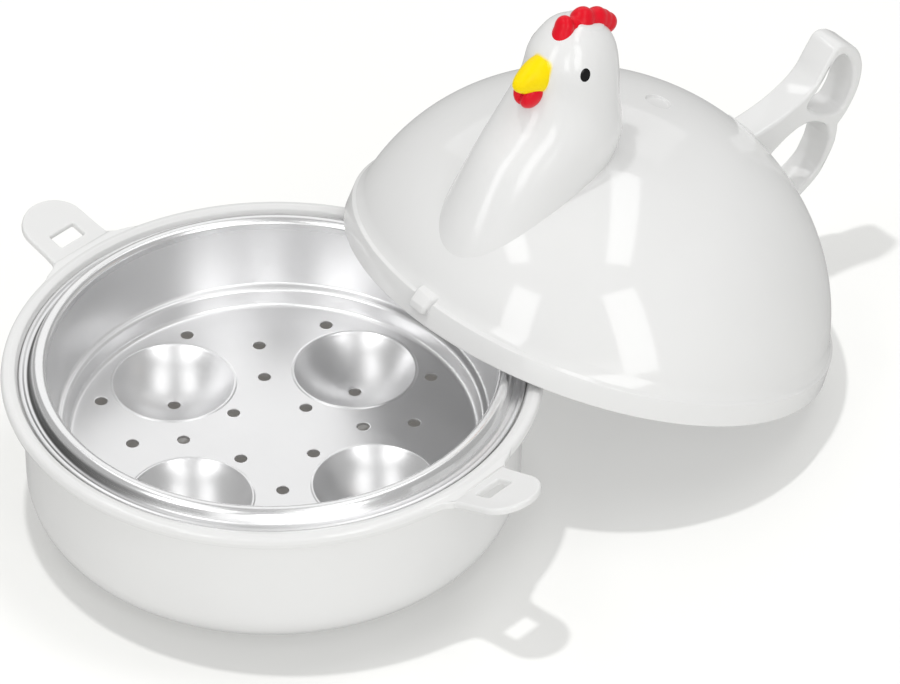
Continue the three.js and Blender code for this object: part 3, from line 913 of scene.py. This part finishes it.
def beak_skin():
    skin = Skin()
    sections = {
        "x": (62, 66.4, 70, 72.6, 73.9),
        "z": (87.4, 87.1, 86, 84.8, 84.2),
        "half_height": (7, 6.5, 5, 3.1, 1.5),
        "half_width": (5.2, 4.9, 3.8, 2.5, 1.3),
    }
    sides, steps, end_steps = 48, 28, 5
    length, drop = 0.4, 0.1
    angles = [2 * math.pi * n / sides for n in range(sides)]
    rings = []
    for k in range(steps + 1):
        t = 4 * k / steps
        x, z, high, wide = (smooth_between(values, t) for values in sections.values())
        rings.append(skin.ring(
            (x, wide * math.cos(a), z + high * math.sin(a)) for a in angles
        ))
    x, z, high, wide = (values[-1] for values in sections.values())
    for k in range(1, end_steps):
        turn = math.pi / 2 * k / end_steps
        out, narrow = math.sin(turn), math.cos(turn)
        rings.append(skin.ring(
            (
                x + length * out,
                wide * narrow * math.cos(a),
                z - drop * out + high * narrow * math.sin(a),
            )
            for a in angles
        ))
    root = skin.ring([(61, 0, 87.5)])
    tip = skin.ring([(x + length, 0, z - drop)])
    skin.stack([root] + rings + [tip])
    return skin


EYE_AT = (57.9, 93.3)
EYE_HALF = (1.55, 2.2)
EYE_EDGE = 0.03
EYE_CROWN = 0.15
EYE_SINK = 0.6


def eye_skin(side):
    """A black bead set into the side of the head."""
    skin = Skin()
    count, rows = 40, 8

    def ring_at(reach, rise):
        spots = arc(EYE_AT, [half * reach for half in EYE_HALF], 0, 360, count)[:-1]
        return skin.ring((x, side * (head_side(x, z) + rise), z) for x, z in spots)

    def middle_at(rise):
        x, z = EYE_AT
        return skin.ring([(x, side * (head_side(x, z) + rise), z)])

    reaches = [row / rows for row in range(1, rows + 1)]
    bulge = EYE_CROWN - EYE_EDGE
    front = [ring_at(r, EYE_EDGE + bulge * math.sqrt(1 - r ** 2)) for r in reaches]
    back = [ring_at(r, -EYE_SINK) for r in reversed(reaches)]
    skin.stack([middle_at(EYE_CROWN)] + front + back + [middle_at(-EYE_SINK)])
    return skin


def tail_skin():
    """A broad band bent into two loops, drawn from the side."""
    skin = Skin()
    # foot and upper edge
    outline = [(-43, 50), (-45.3, 57.6), (-45.7, 58.8), (-49.2, 56.6)]
    outline += spline([(-49.2, 56.6), (-58.8, 62), (-66, 68), (-70.3, 74), (-71.9, 80.5),
                       (-73.1, 85.7)])
    for k in range(1, 9):
        f = k / 8
        outline.append(tuple(
            a * (1 - f) ** 2 + 2 * b * f * (1 - f) + c * f ** 2
            for a, b, c in zip((-73.1, 85.7), (-74.2, 88.3), (-79, 87.7))
        ))
    # outer edge of both loops
    outline += spline([(-79, 87.7), (-85.4, 85.1), (-90.7, 79), (-93.0, 70.5), (-92.1, 62.4),
                       (-89.9, 57)])
    outline += spline([(-89.9, 57), (-91.8, 50.5), (-91.3, 43), (-88.4, 35), (-75, 19.5)])
    # inner edge of the lower loop, open towards the dome
    outline += [(-70, 22)]
    outline += spline([(-70, 22), (-85.8, 37), (-88.8, 45), (-88.3, 51.6)])
    outline += spline([(-88.3, 51.6), (-84.5, 56.7), (-78, 58.7), (-72, 58.2), (-66.5, 54.6),
                       (-61.3, 48.8)])
    outline += [(-56, 40)]
    loop = spline([(-74.4, 79.6), (-76, 83), (-79, 84), (-83.9, 81.2), (-87.4, 76.4),
                   (-89.5, 70), (-88.9, 64.2), (-86.6, 62.1), (-82, 61.5), (-75.8, 62.5),
                   (-70.4, 65.6), (-72.8, 72.4), (-74.4, 79.6)])
    skin.plate(
        without_repeats(outline), TAIL_WIDTH, 1.2,
        lambda u, v, w: onto_dome((u, w, v), 0.6),
        holes=[without_repeats(loop)],
    )
    return skin


# Pieces on their bodies

white = white_plastic()
metal = pressed_aluminium()
red = glossy_paint("comb_red", (0.66, 0.002, 0.012, 1), (0.84, 0.004, 0.022, 1), 0.26, 0.24)
yellow = glossy_paint("beak_yellow", (0.92, 0.66, 0.001, 1), (0.98, 0.78, 0.003, 1), 0.28, 0.12)
black = glossy_paint("eye_black", (0.004, 0.004, 0.004, 1), (0.012, 0.012, 0.012, 1), 0.08, 0.22)


def stand_for(piece, body, node):
    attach(piece, body)
    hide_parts(node)


stand_for(bowl_skin().piece("bowl", bowl_white()), "base", "base_bowl")
tray = tray_skin().piece("tray", metal)
stand_for(tray, "tray", "egg_tray")
for side, angles in FLAPS.items():
    flap = flap_skin().piece(side + "_flap", white, flap_place(*angles))
    stand_for(flap, side, side)

dome = shell_skin().piece("lid_dome", white, LID_PLACE)
stand_for(dome, "lid", "lid_shell")
lining = reflector_skin().piece("lid_lining", spun_aluminium(), LID_PLACE)
stand_for(lining, "lid", "lid_reflector")
head = head_skin().piece("head", hen_white(), LID_PLACE)
stand_for(head, "lid", "hen_head")
tail = tail_skin().piece("tail", white, LID_PLACE)
stand_for(tail, "lid", "tail_handle")

comb_lobes = [
    ((61.3, 0.3, 104.4), (2.8, 3.3, 3.7), 0),
    ((61.0, 0.6, 100.9), (3.4, 3.6, 6.6), 0),
    ((57.4, 0.3, 102.5), (3.8, 3.7, 4.7), 0),
    ((53.4, 0, 105.2), (4.2, 4.1, 5.2), 0),
    ((50.2, 0, 104.4), (4.4, 3.9, 4.8), 0),
    ((47.0, 0, 104.9), (4.6, 3.8, 5.0), 0),
    ((44.4, 0, 104.6), (4.6, 3.5, 4.3), 0),
    ((41.6, 0, 103.8), (4.5, 3.3, 3.8), 0),
]
comb = blended("comb_lobed", comb_lobes, red, 0.25, 34)
stand_for(comb, "lid", "comb")
wattle_lobes = [((66, 1.9 * s, 80.2), (4.3, 2.5, 4.5), -16 * s) for s in (1, -1)]
wattle = blended("wattle_lobed", wattle_lobes, red, 0.25, 4)
stand_for(wattle, "lid", "wattle")
beak = beak_skin().piece("beak_cone", yellow, LID_PLACE)
stand_for(beak, "lid", "beak")
for node, side in (("left_eye", 1), ("right_eye", -1)):
    bead = eye_skin(side).piece(node + "_bead", black, LID_PLACE)
    stand_for(bead, "lid", node)

steel = zinc_steel()
for node in ("head_screw", "tail_screw"):
    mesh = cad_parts[node].data
    mesh.materials.clear()
    mesh.materials.append(steel)


# Floor, light and camera

floor_mesh = bpy.data.meshes.new("floor")
reach = 4.0
floor_mesh.from_pydata(
    [(-reach, -reach, 0), (reach, -reach, 0), (reach, reach, 0), (-reach, reach, 0)],
    [], [(0, 1, 2, 3)],
)
floor_mesh.materials.append(pale_floor())
floor = bpy.data.objects.new("floor", floor_mesh)
floor.location.z = -0.0002
# out of the reflections, so that white edges stay apart from the pale floor
floor.visible_glossy = False
bpy.context.scene.collection.objects.link(floor)


def softbox(name, centre, size, radiance, aim):
    """A rectangular light that shines from centre to aim."""
    light = bpy.data.lights.new(name, "AREA")
    light.shape = "RECTANGLE"
    light.size, light.size_y = size
    light.energy = radiance * math.pi * size[0] * size[1]
    lamp = bpy.data.objects.new(name, light)
    bpy.context.scene.collection.objects.link(lamp)
    at, target = in_view(*centre), in_view(*aim)
    facing = (at - target).to_track_quat("Z", "Y").to_matrix().to_4x4()
    if at.xy == target.xy:
        facing = Matrix.Rotation(VIEW_TURN, 4, "Z")
    lamp.matrix_world = Matrix.Translation(at) @ facing
    return lamp


MIDDLE = (0.08, 0.04, 0.05)
NECK = (0.03, 0.06, 0.10)
CEILING = 1.7
FRONT = -1.55
BRIGHT = 3.2
PANE_GLOW = 1.35
ceiling = [
    softbox("left_ceiling_box", (-0.74, 0, CEILING), (0.36, 1.5), BRIGHT, (-0.74, 0, 0)),
    softbox("right_ceiling_box", (0.70, 0, CEILING), (0.36, 1.5), BRIGHT, (0.70, 0, 0)),
]
softbox("right_front_box", (0.92, FRONT, 0.95), (0.58, 1.5), BRIGHT, MIDDLE)
left_front = softbox("left_front_box", (-0.92, FRONT, 1.15), (0.52, 1.15), BRIGHT, MIDDLE)
front_card = softbox("front_card", (0, FRONT, 0.22), (1.4, 0.5), 0.9, MIDDLE)
softbox("back_box", (0, 1.7, 1.36), (2.6, 1.2), 0.7, MIDDLE)
KEY_AT = (-0.72, 0.30, 4.94)
KEY_AIM = (0.05, 0.04, 0)
KEY_SIZE = (0.19, 0.19)
key = softbox("key", KEY_AT, KEY_SIZE, 330.0, KEY_AIM)
key.visible_glossy = False
floor_key = softbox("floor_key", KEY_AT, KEY_SIZE, 1150.0, KEY_AIM)
strips = [
    softbox("left_strip", (-1.0, -0.97, 0.76), (0.41, 0.95), BRIGHT, NECK),
    softbox("middle_strip", (0.10, -1.45, 0.61), (0.36, 0.65), BRIGHT, NECK),
]
panes = [
    softbox(f"tray_pane_{x}_{y}", (x, y, CEILING), (0.62, depth), PANE_GLOW, (x, y, 0))
    for x in (-0.69, 0.47) for y, depth in ((0.25, 1.46), (-1.07, 0.82))
]


def only_for(lamps, pieces, link_state="INCLUDE"):
    """Lets lamps shine on these pieces alone, or on all but these."""
    group = bpy.data.collections.new(pieces[0].name + "_" + link_state.lower())
    for index, piece in enumerate(pieces):
        group.objects.link(piece)
        group.collection_objects[index].light_linking.link_state = link_state
    for lamp in lamps:
        lamp.light_linking.receiver_collection = group


only_for([floor_key], [floor])
only_for(strips, [head, tray])
only_for([left_front, front_card], [head], "EXCLUDE")
only_for(panes, [tray])
only_for(ceiling, [tray], "EXCLUDE")

bpy.context.scene.view_settings.view_transform = "Standard"
world = bpy.data.worlds.new("studio")
bpy.context.scene.world = world
world.use_nodes = True
sky = world.node_tree.nodes["Background"]
sky.inputs["Color"].default_value = (1.0, 1.0, 0.99, 1)
sky.inputs["Strength"].default_value = 0.45

CAMERA_AT = Vector((1.7839, -1.7669, 2.0620))
CAMERA_LOOKS = Vector((-0.5433, 0.5626, -0.6233))
lens = bpy.data.cameras.new("camera")
lens.sensor_width = 36.0
lens.lens = 408.74
camera = bpy.data.objects.new("camera", lens)
camera.location = CAMERA_AT
camera.rotation_euler = CAMERA_LOOKS.to_track_quat("-Z", "Y").to_euler()
bpy.context.scene.collection.objects.link(camera)
bpy.context.scene.camera = camera
